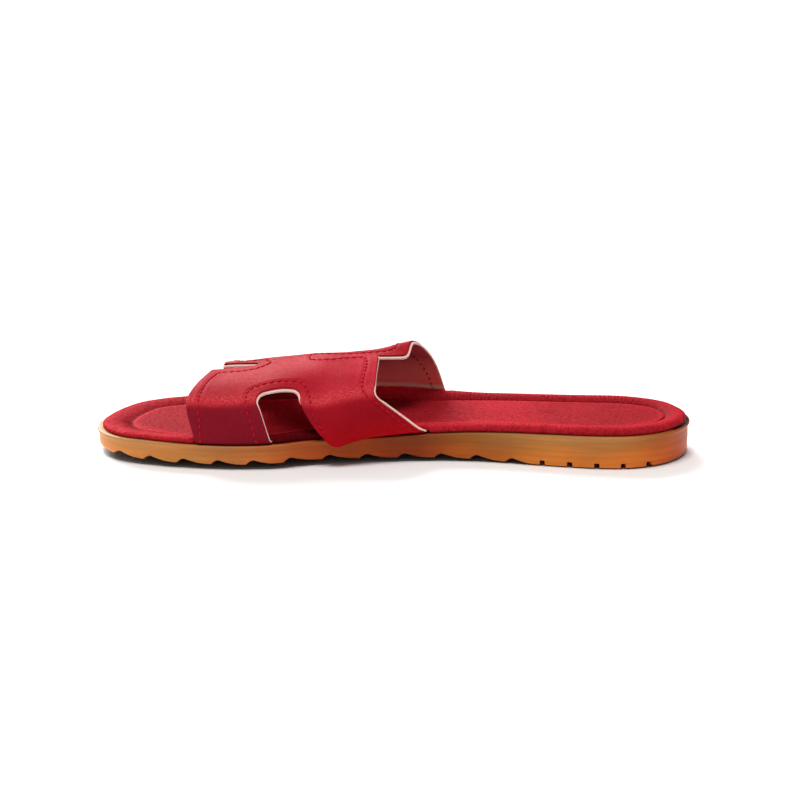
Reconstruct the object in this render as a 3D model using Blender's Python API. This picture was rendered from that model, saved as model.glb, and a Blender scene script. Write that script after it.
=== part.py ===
"""A right-foot slide sandal: a moulded rubber outsole, a padded insole and a one-piece H-cut upper.

Frame: +X runs from the toe to the heel, +Y from the medial (inner) side to the lateral side, +Z up.
The origin is under the middle of the shoe, on the floor that it stands on.
"""

import bisect
import math

import bmesh
import bpy
from mathutils import Vector
from mathutils.geometry import delaunay_2d_cdt

MM = 0.001

# ---- driving dimensions, in millimetres ----
LENGTH = 257.0  # toe tip to heel back, a women's European size 38
MIDLINE = 46.2  # from the medial tangent line of the sole to the X axis
WALL = 2.0  # upper leather with its lining
SKIVED = 1.0  # the upper's margins, thinned where they are lasted under the insole
GAP = 0.3  # between two pieces that meet
TOE_CAP = 60.0  # length of the rounded toe
HEEL_CAP = 34.0  # length of the rounded heel

# Sole outline. from_toe, then the outline's centre and half width before the ends are rounded;
# centre is measured across from the medial tangent line.
OUTLINE = (
    # from_toe, centre, half_width
    (0.0, 40.0, 48.0),
    (10.0, 43.3, 49.4),
    (21.0, 45.0, 46.6),
    (42.0, 46.1, 45.0),
    (64.0, 46.2, 45.7),
    (80.0, 46.6, 44.8),
    (97.0, 48.9, 41.0),
    (131.0, 48.7, 35.4),
    (152.0, 47.0, 32.6),
    (170.0, 44.2, 31.9),
    (194.0, 38.5, 32.5),
    (216.0, 34.4, 33.0),
    (240.0, 34.0, 32.2),
    (257.0, 35.5, 31.8),
)

# Heights of the sole, then the insole's padded rim and the middle of its bed over the sole's top.
PROFILE = (
    # from_toe, bottom, edge_lift, top, rim, bed
    (0.0, 3.0, 0.2, 10.4, 2.2, 0.0),
    (12.0, 1.6, 0.8, 10.6, 2.2, 0.0),
    (25.0, 0.6, 1.4, 10.7, 2.3, 0.0),
    (40.0, 0.0, 1.8, 10.3, 2.65, 0.0),
    (70.0, 0.0, 1.8, 10.2, 3.1, 0.2),
    (90.0, 0.0, 2.2, 10.8, 3.4, 0.5),
    (112.0, 0.6, 1.2, 11.0, 3.7, 0.9),
    (140.0, 1.0, 0.3, 11.7, 3.7, 1.2),
    (165.0, 0.6, 0.1, 12.7, 3.4, 1.2),
    (186.0, 0.0, 0.0, 13.4, 3.6, 1.2),
    (220.0, 0.0, 0.0, 13.95, 3.7, 1.2),
    (246.0, 0.0, 0.2, 14.1, 3.6, 1.2),
    (257.0, 0.7, 0.2, 14.3, 3.4, 1.2),
)
BOTTOM, EDGE_LIFT, TOP, RIM, BED = 1, 2, 3, 4, 5

# Saw-tooth lugs from toe to arch, each rising from a steep face, then square slots under the heel.
LUGS_FROM_TOE = (8.8, 22.6, 37.2, 52.0, 67.0, 83.0, 99.0, 114.7, 130.6, 146.1, 161.0, 175.8)
LUG_DEPTH, LUG_LENGTH = 1.8, 11.0
SLOT_FIRST, SLOT_PITCH, SLOT_COUNT = 190.1, 11.35, 5
SLOT_WIDTH, SLOT_DEPTH = 2.5, 1.9
STEP = 0.12  # run of a steep face

LIP_OUT, LIP_HEIGHT = 0.8, 1.3  # the thin flange round the sole's top edge
TRAY_INSET, TRAY_DEPTH = 13.5, 1.9  # the bed that the insole's middle sits in
FLAT_SHARE = 0.14  # of the sole's width, at each side of the level middle of the tread

# The upper's cross-sections, in millimetres. bulge is how far the medial side stands out over the
# sole's edge. A fold is given by its distance in from the sole's edge and its height. The shoulder,
# the two edges of the middle notches and the crest are given by how far across they are and their
# height.
SECTIONS = (
    # from_toe, bulge, fold_in, fold_z, shoulder, shoulder_z, near, near_z, far, far_z,
    # crest, crest_z, lateral_in, lateral_z
    (38.0, 0.0, 2.6, 27.8, 20.0, 32.2, 41.0, 33.5, 49.0, 33.9, 56.0, 33.3, 5.0, 27.0),
    (46.0, 0.0, 3.2, 28.0, 20.0, 32.6, 41.0, 33.9, 49.0, 34.4, 56.0, 33.8, 5.0, 27.4),
    (57.0, 0.0, 3.5, 28.1, 20.0, 32.9, 41.0, 34.4, 50.0, 34.9, 56.0, 34.3, 5.0, 28.0),
    (69.0, 0.0, 4.2, 29.1, 20.5, 34.0, 42.0, 35.7, 48.0, 35.8, 56.0, 35.4, 5.2, 28.8),
    (82.0, 0.0, 3.6, 29.0, 21.5, 35.4, 43.0, 37.5, 48.0, 37.4, 56.0, 37.1, 5.6, 29.8),
    (97.0, 2.2, 0.0, 26.6, 23.5, 36.1, 43.5, 39.8, 48.5, 39.0, 57.0, 38.2, 6.4, 31.0),
    (104.0, 5.2, -0.4, 28.5, 24.5, 36.2, 43.5, 40.4, 48.0, 38.8, 57.0, 38.5, 7.0, 31.5),
    (110.0, 4.6, -0.5, 29.8, 25.5, 36.4, 43.5, 40.5, 48.0, 38.8, 57.0, 38.7, 7.4, 31.8),
    (121.0, 2.9, -0.4, 30.9, 27.0, 36.8, 43.0, 40.5, 48.0, 38.8, 57.5, 39.7, 8.2, 32.2),
    (133.0, 0.6, 0.0, 31.8, 27.0, 37.4, 43.0, 40.6, 48.0, 38.9, 58.0, 42.9, 9.0, 32.2),
    (140.0, 0.0, 0.0, 32.4, 27.0, 37.6, 43.0, 40.7, 48.0, 39.2, 58.5, 44.0, 9.2, 32.0),
    (154.0, 0.0, 0.0, 32.4, 27.0, 37.6, 43.0, 40.7, 48.0, 39.4, 59.0, 44.2, 9.4, 31.0),
)
SAG_FROM, SAG_RATIO = 3.0, 2.0  # past SAG_FROM the bulge also hangs down over the sole's edge
FEATHER, FEATHER_SHIFT = 3.6, 0.78  # where the margins turn under, nearer to the edge at the bulge
MARGIN_REACH = 9.0  # how far the margins run in under the insole
# Girth coordinate of each corner of a section, from the end of the medial margin: feather line,
# sole's edge, fold, shoulder, near and far edge of the notches, crest, lateral fold, and back.
GIRTHS = (-9.0, -3.6, 0.0, 18.0, 32.0, 53.0, 59.0, 68.0, 92.0, 113.0, 116.6, 122.0)
FOLD, LATERAL_FOLD = 3, 8
ROUNDED = ((2, 3.2), (3, 4.6), (8, 9.0), (9, 3.2))  # section corner, rounding reach along the girth

# The upper's pattern: corners of its outline, going round once. corner is the rounding reach.
PATTERN = (
    # from_toe, girth, corner
    (46.5, -9.0, 1.0),
    (46.0, 0.0, 5.0),
    (40.8, 18.5, 8.0),
    (46.0, 36.5, 10.0),
    (49.6, 54.2, 1.2),
    (69.6, 54.8, 2.2),
    (69.2, 58.4, 2.2),
    (53.8, 59.0, 1.2),
    (56.5, 67.0, 4.0),
    (50.0, 92.0, 12.0),
    (54.5, 113.0, 5.0),
    (55.0, 122.0, 1.0),
    (86.0, 122.0, 1.0),
    (86.0, 113.0, 4.0),
    (80.2, 93.5, 4.5),
    (84.5, 87.0, 5.0),
    (97.0, 86.8, 5.0),
    (99.0, 94.0, 7.0),
    (109.0, 113.0, 4.0),
    (109.5, 122.0, 1.0),
    (153.0, 122.0, 1.0),
    (153.9, 113.0, 5.0),
    (147.5, 88.2, 12.0),
    (137.7, 68.0, 4.0),
    (135.1, 59.0, 3.0),
    (98.0, 58.4, 2.2),
    (98.0, 53.6, 2.2),
    (122.8, 53.0, 1.2),
    (121.1, 17.0, 4.0),
    (143.0, 0.0, 2.0),
    (143.0, -9.0, 1.0),
    (101.2, -9.0, 1.0),
    (101.4, -0.6, 1.3),
    (97.8, 3.0, 4.0),
    (93.8, 9.2, 5.0),
    (90.2, 16.6, 4.0),
    (88.7, 23.9, 3.0),
    (80.8, 24.2, 6.0),
    (73.2, 22.6, 3.5),
    (71.8, 18.4, 3.5),
    (78.0, 0.0, 3.0),
    (78.0, -9.0, 1.0),
)
LEGS = (  # where each leg goes down beside the insole: from_toe start and end, side
    (45.4, 78.6, -1),
    (99.6, 143.6, -1),
    (53.9, 86.6, 1),
    (108.4, 154.4, 1),
)


def through(knots, values, at):
    """The value at a place on the smooth curve through the values at the knots."""
    at = min(max(at, knots[0]), knots[-1])
    i = min(max(bisect.bisect_right(knots, at) - 1, 0), len(knots) - 2)

    def slope(k):
        low, high = max(k - 1, 0), min(k + 1, len(knots) - 1)
        return (values[high] - values[low]) / (knots[high] - knots[low])

    return eased(knots[i], knots[i + 1], values[i], values[i + 1], slope(i), slope(i + 1), at)


def eased(start, end, value_a, value_b, slope_a, slope_b, at):
    """A cubic from value_a to value_b that leaves and arrives with the given slopes."""
    span = end - start
    s = (at - start) / span
    return (
        value_a * (1 + 2 * s) * (1 - s) ** 2
        + value_b * s * s * (3 - 2 * s)
        + span * (slope_a * s * (1 - s) ** 2 - slope_b * s * s * (1 - s))
    )


def smooth(table, at, column):
    """A table's column at a distance from the toe."""
    return through([row[0] for row in table], [row[column] for row in table], at)


def end_rounding(from_toe):
    """1 along the shoe, falling to 0 at the toe tip and at the heel's back as an ellipse does."""
    toe = min(max(from_toe, 0.0) / TOE_CAP, 1.0)
    heel = min(max(LENGTH - from_toe, 0.0) / HEEL_CAP, 1.0)
    return math.sqrt(max(0.0, (1 - (1 - toe) ** 2) * (1 - (1 - heel) ** 2)))


def edge(from_toe, side):
    """How far across the sole's edge is, on the medial (-1) or lateral (1) side."""
    half = smooth(OUTLINE, from_toe, 2) * end_rounding(from_toe)
    return smooth(OUTLINE, from_toe, 1) + side * half


def height(from_toe, column):
    """A height from the profile table. The bottom never goes below the floor."""
    return max(smooth(PROFILE, from_toe, column), 0.0)


def placed(from_toe, across, z):
    """A point of the shoe in the part's frame, in metres."""
    return Vector((from_toe - LENGTH / 2, across - MIDLINE, z)) * MM


# ---- outsole and insole: rings that follow the outline ----


def base_stations(count):
    """Distances from the toe, close together at the two round ends."""
    return [LENGTH * (1 - math.cos(math.pi * k / count)) / 2 for k in range(1, count)]


def lug_stations():
    """Where the tread's profile turns."""
    found = []
    for start in LUGS_FROM_TOE:
        found += [start, start + STEP, start + LUG_LENGTH]
    for k in range(SLOT_COUNT):
        start = SLOT_FIRST + k * SLOT_PITCH
        found += [start, start + STEP, start + SLOT_WIDTH - STEP, start + SLOT_WIDTH]
    return found


def tread_depth(from_toe):
    """How far the tread is cut up into the sole here."""
    for start in LUGS_FROM_TOE:
        run = from_toe - start
        if 0 < run < LUG_LENGTH:
            return LUG_DEPTH * min(run / STEP, (LUG_LENGTH - run) / (LUG_LENGTH - STEP))
    for k in range(SLOT_COUNT):
        run = from_toe - (SLOT_FIRST + k * SLOT_PITCH)
        if 0 < run < SLOT_WIDTH:
            return SLOT_DEPTH * min(run / STEP, (SLOT_WIDTH - run) / STEP, 1.0)
    return 0.0


def merged(turns, base, nearest):
    """The turning stations, with each base station that isn't too near one of them."""
    kept = [b for b in base if all(abs(b - t) > nearest for t in turns)]
    return sorted(turns + kept)


def outline_ring(stations, inset):
    """The outline moved in by inset: toe tip, medial side to the heel, heel back, lateral side back."""
    points = [(0.0, edge(0.0, 1))]
    points += [(s, edge(s, -1)) for s in stations]
    points += [(LENGTH, edge(LENGTH, 1))]
    points += [(s, edge(s, 1)) for s in reversed(stations)]
    moved = []
    for k, (x, y) in enumerate(points):
        ahead, behind = points[(k + 1) % len(points)], points[k - 1]
        run = (ahead[0] - behind[0], ahead[1] - behind[1])
        size = math.hypot(*run)
        moved.append((x - run[1] / size * inset, y + run[0] / size * inset))
    return moved


def ringed_solid(name, stations, rings, across_bottom=()):
    """A closed solid from rings of the outline, lowest first. Each ring is (inset, height function of
    a distance from the toe). across_bottom lists extra rows of points across the lowest face, each
    as (share of the way over, height function)."""
    mesh = bmesh.new()
    count = len(stations)
    size = 2 * count + 2
    levels = []
    for inset, z_at in rings:
        ring = outline_ring(stations, inset)
        own = [0.0] + stations + [LENGTH] + stations[::-1]
        use = own if inset < TRAY_INSET / 2 else [p[0] for p in ring]
        levels.append([mesh.verts.new(placed(x, y, z_at(u))) for (x, y), u in zip(ring, use)])
    for low, high in zip(levels, levels[1:]):
        for k in range(size):
            j = (k + 1) % size
            mesh.faces.new((low[k], low[j], high[j], high[k]))
    cap(mesh, levels[0], stations, across_bottom)
    cap(mesh, levels[-1], stations, ())
    return finished(name, mesh)


def cap(mesh, level, stations, across):
    """Closes a ring with strips from its medial to its lateral side."""
    count = len(stations)
    medial = level[1 : count + 1]
    lateral = level[: count + 1 : -1]
    rows = [[level[0]] * (len(across) + 2)]
    for station, a, b in zip(stations, medial, lateral):
        row = [a]
        for share, z_at in across:
            point = a.co.lerp(b.co, share)
            point.z = z_at(station) * MM
            row.append(mesh.verts.new(point))
        rows.append(row + [b])
    rows.append([level[count + 1]] * (len(across) + 2))
    for a, b in zip(rows, rows[1:]):
        for m in range(len(a) - 1):
            corners = [a[m], a[m + 1], b[m + 1], b[m]]
            mesh.faces.new([v for n, v in enumerate(corners) if v not in corners[:n]])


def finished(name, mesh, sharp_deg=35.0):
    """Turns a bmesh into an object, shaded smooth apart from its sharp edges."""
    bmesh.ops.recalc_face_normals(mesh, faces=mesh.faces)
    data = bpy.data.meshes.new(name)
    mesh.to_mesh(data)
    mesh.free()
    data.shade_smooth()
    data.set_sharp_from_angle(angle=math.radians(sharp_deg))
    obj = bpy.data.objects.new(name, data)
    bpy.context.scene.collection.objects.link(obj)
    return obj


def make_outsole():
    stations = merged(lug_stations(), base_stations(44), 1.2)

    def over_bottom(extra):
        def z(u):
            return height(u, BOTTOM) + height(u, EDGE_LIFT) + max(extra, tread_depth(u))

        return z

    def tread(u):
        return height(u, BOTTOM) + tread_depth(u)

    def under_top(drop):
        return lambda u: height(u, TOP) - drop

    rings = (
        (LIP_OUT + 1.5, over_bottom(0.0)),
        (LIP_OUT + 0.5, over_bottom(0.5)),
        (LIP_OUT, over_bottom(1.9)),
        (LIP_OUT, under_top(LIP_HEIGHT + 0.6)),
        (0.15, under_top(LIP_HEIGHT)),
        (0.0, under_top(0.4)),
        (0.4, under_top(0.0)),
        (TRAY_INSET, under_top(0.0)),
        (TRAY_INSET + 0.3, under_top(TRAY_DEPTH)),
    )
    return ringed_solid("outsole", stations, rings, ((FLAT_SHARE, tread), (1 - FLAT_SHARE, tread)))


def make_insole():
    edge_in = WALL + 0.7
    under = 0.35 + TRAY_INSET

    def over_top(rise, rim_share=0.0):
        return lambda u: height(u, TOP) + rise + rim_share * height(u, RIM)

    def over_bed(rise, rim_share=0.0):
        return lambda u: over_top(rise, rim_share)(u) + (1 - rim_share) * height(u, BED)

    rings = (
        (under + 0.3, over_top(GAP - TRAY_DEPTH)),
        (under, over_top(GAP)),
        (edge_in, over_top(GAP)),
        (edge_in, over_top(0.3, 0.45)),
        (edge_in + 0.5, over_top(0.15, 0.74)),
        (edge_in + 1.6, over_top(0.0, 0.92)),
        (edge_in + 4.2, over_top(0.0, 1.0)),
        (edge_in + 6.6, over_bed(0.0, 0.95)),
        (edge_in + 8.8, over_bed(0.1, 0.62)),
        (edge_in + 10.4, over_bed(0.4, 0.18)),
        (edge_in + 11.0, over_bed(0.6)),
        (edge_in + 13.0, over_bed(0.9)),
    )
    insole = ringed_solid("insole", base_stations(44), rings)
    for k, (start, end, side) in enumerate(LEGS):
        cutter = margin_pocket(f"pocket_cutter_{k}", start, end, side)
        cut = insole.modifiers.new(f"pocket_{k}", "BOOLEAN")
        cut.operation = "DIFFERENCE"
        cut.object = cutter
    return insole


def margin_pocket(name, start, end, side):
    """The room under the insole for one lasted margin, as a cutter."""
    steps = 8
    mesh = bmesh.new()
    rows = []
    for k in range(steps + 1):
        u = start - 0.4 + (end - start + 0.8) * k / steps
        top = height(u, TOP)
        outer = edge(u, side) + side * 1.0
        inner = edge(u, side) - side * (MARGIN_REACH + 0.5)
        over = top + SKIVED + 2 * GAP
        turn = edge(u, side) - side * FEATHER
        corners = (
            (outer, top - 0.5),
            (inner, top - 0.5),
            (inner, over),
            (turn, over),
            (turn, over + 1.2),
            (outer, over + 1.2),
        )
        rows.append([mesh.verts.new(placed(u, y, z)) for y, z in corners])
    for a, b in zip(rows, rows[1:]):
        for m in range(len(a)):
            n = (m + 1) % len(a)
            mesh.faces.new((a[m], a[n], b[n], b[m]))
    mesh.faces.new(rows[0])
    mesh.faces.new(rows[-1][::-1])
    cutter = finished(name, mesh)
    cutter.hide_render = True
    cutter.display_type = "WIRE"
    return cutter


# ---- upper: a pattern cut out of a sheet, wrapped over the sections ----


def section_corners(from_toe):
    """The corners of the upper's section here as (across, z), from margin end to margin end."""
    row = [smooth(SECTIONS, from_toe, c) for c in range(1, len(SECTIONS[0]))]
    fold_in, fold_z = row[1:3]
    middle = [tuple(row[k : k + 2]) for k in (3, 5, 7, 9)]
    lateral_in, lateral_z = row[11:]
    bulge = max(row[0], 0.0)
    sag = SAG_RATIO * max(bulge - SAG_FROM, 0.0)
    medial, lateral = edge(from_toe, -1), edge(from_toe, 1)
    base = height(from_toe, TOP) + GAP
    return (
        (medial + MARGIN_REACH, base),
        (medial + FEATHER - FEATHER_SHIFT * bulge, base),
        (medial - bulge, base - sag),
        (medial + fold_in, fold_z),
        *middle,
        (lateral - lateral_in, lateral_z),
        (lateral, base),
        (lateral - FEATHER, base),
        (lateral - MARGIN_REACH, base),
    )


def unrounded(corners, girth):
    """A section with straight sides and a smooth top, before its corners are rounded."""
    if GIRTHS[FOLD] < girth < GIRTHS[LATERAL_FOLD]:
        top = slice(FOLD, LATERAL_FOLD + 1)
        return [through(GIRTHS[top], [c[axis] for c in corners[top]], girth) for axis in (0, 1)]
    k = min(max(bisect.bisect_right(GIRTHS, girth) - 1, 0), len(GIRTHS) - 2)
    if girth == GIRTHS[FOLD]:
        k = FOLD - 1
    s = (girth - GIRTHS[k]) / (GIRTHS[k + 1] - GIRTHS[k])
    return [a + (b - a) * s for a, b in zip(corners[k], corners[k + 1])]


def section_point(from_toe, girth):
    """The outside of the upper at a distance from the toe and a girth, as (across, z)."""
    corners = section_corners(from_toe)
    for k, reach in ROUNDED:
        start, end = GIRTHS[k] - reach, GIRTHS[k] + reach
        if start < girth < end:
            a, b = unrounded(corners, start), unrounded(corners, end)
            before, after = unrounded(corners, start - 0.05), unrounded(corners, end + 0.05)
            return [
                eased(start, end, a[m], b[m], (a[m] - before[m]) / 0.05, (after[m] - b[m]) / 0.05, girth)
                for m in (0, 1)
            ]
    return unrounded(corners, girth)


def upper_point(from_toe, girth):
    return placed(from_toe, *section_point(from_toe, girth))


def upper_normal(from_toe, girth):
    """Out of the upper's outer face."""
    along = upper_point(from_toe + 0.5, girth) - upper_point(from_toe - 0.5, girth)
    low, high = max(girth - 0.4, GIRTHS[0]), min(girth + 0.4, GIRTHS[-1])
    round_it = upper_point(from_toe, high) - upper_point(from_toe, low)
    return round_it.cross(along).normalized() * -1.0


def upper_wall(girth):
    """The wall's thickness, thinned to the skived margins at the sole's edge."""
    up_the_side = min(girth - GIRTHS[2], GIRTHS[9] - girth)
    share = min(max((up_the_side - 1.0) / 6.0, 0.0), 1.0)
    return SKIVED + (WALL - SKIVED) * share * share * (3 - 2 * share)


def rounded_outline(corners, spacing):
    """The closed outline through the corners, each rounded by its radius, with points at the spacing."""
    path = []
    count = len(corners)
    for k in range(count):
        x, y, radius = corners[k]
        here = Vector((x, y))
        before = Vector(corners[k - 1][:2]) - here
        after = Vector(corners[(k + 1) % count][:2]) - here
        reach = min(radius, before.length * 0.45, after.length * 0.45)
        a, b = here + before.normalized() * reach, here + after.normalized() * reach
        bends = max(2, int(round(2 * reach / spacing)) + 2)
        for m in range(bends + 1):
            s = m / bends
            path.append(a * (1 - s) ** 2 + here * 2 * s * (1 - s) + b * s * s)
    found = []
    for k, point in enumerate(path):
        following = path[(k + 1) % len(path)]
        run = following - point
        pieces = max(1, int(round(run.length / spacing)))
        found += [point + run * (m / pieces) for m in range(pieces)]
    return found


def inside(point, outline):
    x, y = point
    odd = False
    for k, a in enumerate(outline):
        b = outline[k - 1]
        if (a[1] > y) != (b[1] > y) and x < (b[0] - a[0]) * (y - a[1]) / (b[1] - a[1]) + a[0]:
            odd = not odd
    return odd


def clear_of(point, outline, distance):
    for k, a in enumerate(outline):
        run = outline[k - 1] - a
        s = min(max((point - a).dot(run) / max(run.length_squared, 1e-12), 0.0), 1.0)
        if (a + run * s - point).length < distance:
            return False
    return True


def girth_rows(spacing):
    """Girths of the sheet's rows of points: at each corner of a section, and closer where it bends."""
    bends = [(GIRTHS[k], reach) for k, reach in ROUNDED]
    stops = sorted({*GIRTHS, *(g + way * reach for g, reach in bends for way in (-1, 1))})
    rows = []
    for a, b in zip(stops, stops[1:]):
        bent = any(abs((a + b) / 2 - g) < reach for g, reach in bends)
        pieces = max(3 if bent else 1, round((b - a) / spacing))
        rows += [a + (b - a) * k / pieces for k in range(pieces)]
    return rows + [stops[-1]]


def split_at_rows(outline, rows):
    """The outline with a point more wherever it crosses a row."""
    found = []
    for k, a in enumerate(outline):
        b = outline[(k + 1) % len(outline)]
        shares = sorted((g - a.y) / (b.y - a.y) for g in rows if min(a.y, b.y) < g < max(a.y, b.y))
        found += [a] + [a.lerp(b, s) for s in shares if 0.1 < s < 0.9]
    return found


def sheet_points(spacing):
    """Points of the flat pattern with the edges that its triangles keep: its outline and its rows."""
    rows = girth_rows(spacing)
    outline = split_at_rows(rounded_outline(PATTERN, spacing * 0.6), rows)
    points = list(outline)
    kept = [(k, (k + 1) % len(outline)) for k in range(len(outline))]
    for number, girth in enumerate(rows):
        row = [k for k, p in enumerate(outline) if abs(p.y - girth) < 1e-4]
        u = SECTIONS[0][0] + (spacing / 2 if number % 2 else 0.0)
        while u < SECTIONS[-1][0]:
            point = Vector((u, girth))
            if inside(point, outline) and clear_of(point, outline, spacing * 0.3):
                row.append(len(points))
                points.append(point)
            u += spacing
        row.sort(key=lambda k: points[k].x)
        for a, b in zip(row, row[1:]):
            middle = (points[a] + points[b]) / 2
            if inside(middle, outline) and clear_of(middle, outline, 0.02):
                kept.append((a, b))
    return points, kept


def make_upper(spacing=4.0):
    points, kept = sheet_points(spacing)
    flat, _, faces, _, _, _ = delaunay_2d_cdt(points, kept, [], 1, 1e-6)
    mesh = bmesh.new()
    outer, inner = [], []
    for u, girth in flat:
        point, out = upper_point(u, girth), upper_normal(u, girth)
        outer.append(mesh.verts.new(point))
        inner.append(mesh.verts.new(point - out * upper_wall(girth) * MM))
    for face in faces:
        mesh.faces.new([outer[k] for k in face])
        mesh.faces.new([inner[k] for k in reversed(face)])
    cut_edge = [e for e in mesh.edges if len(e.link_faces) == 1]
    partner = dict(zip(outer, inner))
    for e in cut_edge:
        a, b = e.verts
        if a in partner and b in partner:
            mesh.faces.new((a, b, partner[b], partner[a]))
    return finished("upper", mesh, 50.0)


# ---- materials ----


def material(name, colour, roughness):
    made = bpy.data.materials.new(name)
    made.use_nodes = True
    shader = made.node_tree.nodes["Principled BSDF"]
    shader.inputs["Base Color"].default_value = (*colour, 1.0)
    shader.inputs["Roughness"].default_value = roughness
    shader.inputs["Metallic"].default_value = 0.0
    return made


def main():
    for obj in list(bpy.data.objects):
        bpy.data.objects.remove(obj)
    gum = material("gum_rubber", (0.56, 0.27, 0.08), 0.55)
    grained = material("insole_leather", (0.42, 0.02, 0.03), 0.5)
    leather = material("upper_leather", (0.47, 0.02, 0.03), 0.45)
    for piece, finish in ((make_outsole(), gum), (make_insole(), grained), (make_upper(), leather)):
        piece.data.materials.append(finish)


main()
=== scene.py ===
"""The looks of a right-foot slide sandal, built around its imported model.

It makes the band's red skin, lining and stitches, the padded insole, the moulded rubber sole, a pale
floor, soft light and the camera. Lengths in the tables are millimetres in the shoe's own terms:
from_toe runs from the toe tip to the heel, and across runs from the medial tangent line of the sole.
"""

import math

import bpy
import numpy as np
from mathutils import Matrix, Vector, noise
from mathutils.geometry import delaunay_2d_cdt


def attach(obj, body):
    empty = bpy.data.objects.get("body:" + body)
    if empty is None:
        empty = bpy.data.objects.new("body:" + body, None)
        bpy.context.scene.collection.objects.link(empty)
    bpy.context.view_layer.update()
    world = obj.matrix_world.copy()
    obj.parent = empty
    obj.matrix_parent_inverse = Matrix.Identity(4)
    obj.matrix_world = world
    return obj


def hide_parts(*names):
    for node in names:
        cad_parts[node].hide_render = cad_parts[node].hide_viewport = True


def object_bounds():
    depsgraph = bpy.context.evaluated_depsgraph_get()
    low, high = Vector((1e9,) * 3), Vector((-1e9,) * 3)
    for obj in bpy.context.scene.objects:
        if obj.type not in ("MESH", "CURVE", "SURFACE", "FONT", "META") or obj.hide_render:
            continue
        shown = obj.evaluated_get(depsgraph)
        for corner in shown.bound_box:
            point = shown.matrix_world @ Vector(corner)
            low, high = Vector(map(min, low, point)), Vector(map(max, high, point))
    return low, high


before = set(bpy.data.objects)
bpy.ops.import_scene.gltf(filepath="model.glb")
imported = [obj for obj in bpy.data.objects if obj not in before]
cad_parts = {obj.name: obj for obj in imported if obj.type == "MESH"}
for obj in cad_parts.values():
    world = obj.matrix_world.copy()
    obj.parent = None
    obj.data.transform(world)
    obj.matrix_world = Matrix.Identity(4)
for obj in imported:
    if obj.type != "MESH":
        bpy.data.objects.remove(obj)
CAD_BOX = [list(corner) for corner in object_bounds()]

MM = 0.001
RNG = np.random.default_rng(11)

# ---- the shoe's driving dimensions and tables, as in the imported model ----

LENGTH = (CAD_BOX[1][0] - CAD_BOX[0][0]) / MM
MIDLINE = 46.2  # across of the frame's own midline
TOE_CAP, HEEL_CAP = 60.0, 34.0  # the lengths over which the toe and the heel round off
WALL, SKIVED = 2.0, 1.0  # the band's thickness, and that of its margins
GAP = 0.3  # between curved pieces

OUTLINE = (  # of the sole, seen from above
    # from_toe, centre, half_width
    (0.0, 40.0, 48.0), (10.0, 43.3, 49.4), (21.0, 45.0, 46.6), (42.0, 46.1, 45.0),
    (64.0, 46.2, 45.7), (80.0, 46.6, 44.8), (97.0, 48.9, 41.0), (131.0, 48.7, 35.4),
    (152.0, 47.0, 32.6), (170.0, 44.2, 31.9), (194.0, 38.5, 32.5), (216.0, 34.4, 33.0),
    (240.0, 34.0, 32.2), (257.0, 35.5, 31.8),
)
PROFILE = (  # the sole's heights, then the insole's rim and the middle of its bed over its top
    # from_toe, bottom, edge_lift, top, rim, bed
    (0.0, 3.0, 0.2, 10.4, 2.2, 0.0),
    (12.0, 1.6, 0.8, 10.6, 2.2, 0.0),
    (25.0, 0.6, 1.4, 10.7, 2.3, 0.0),
    (40.0, 0.0, 1.8, 10.3, 2.65, 0.0),
    (70.0, 0.0, 1.8, 10.2, 3.1, 0.2),
    (90.0, 0.0, 2.2, 10.8, 3.4, 0.5),
    (112.0, 0.6, 1.2, 11.0, 3.7, 0.9),
    (140.0, 1.0, 0.3, 11.7, 3.7, 1.2),
    (165.0, 0.6, 0.1, 12.7, 3.4, 1.2),
    (186.0, 0.0, 0.0, 13.4, 3.6, 1.2),
    (220.0, 0.0, 0.0, 13.95, 3.7, 1.2),
    (246.0, 0.0, 0.2, 14.1, 3.6, 1.2),
    (257.0, 0.7, 0.2, 14.3, 3.4, 1.2),
)
BOTTOM, EDGE_LIFT, TOP, RIM, BED = 1, 2, 3, 4, 5

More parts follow.
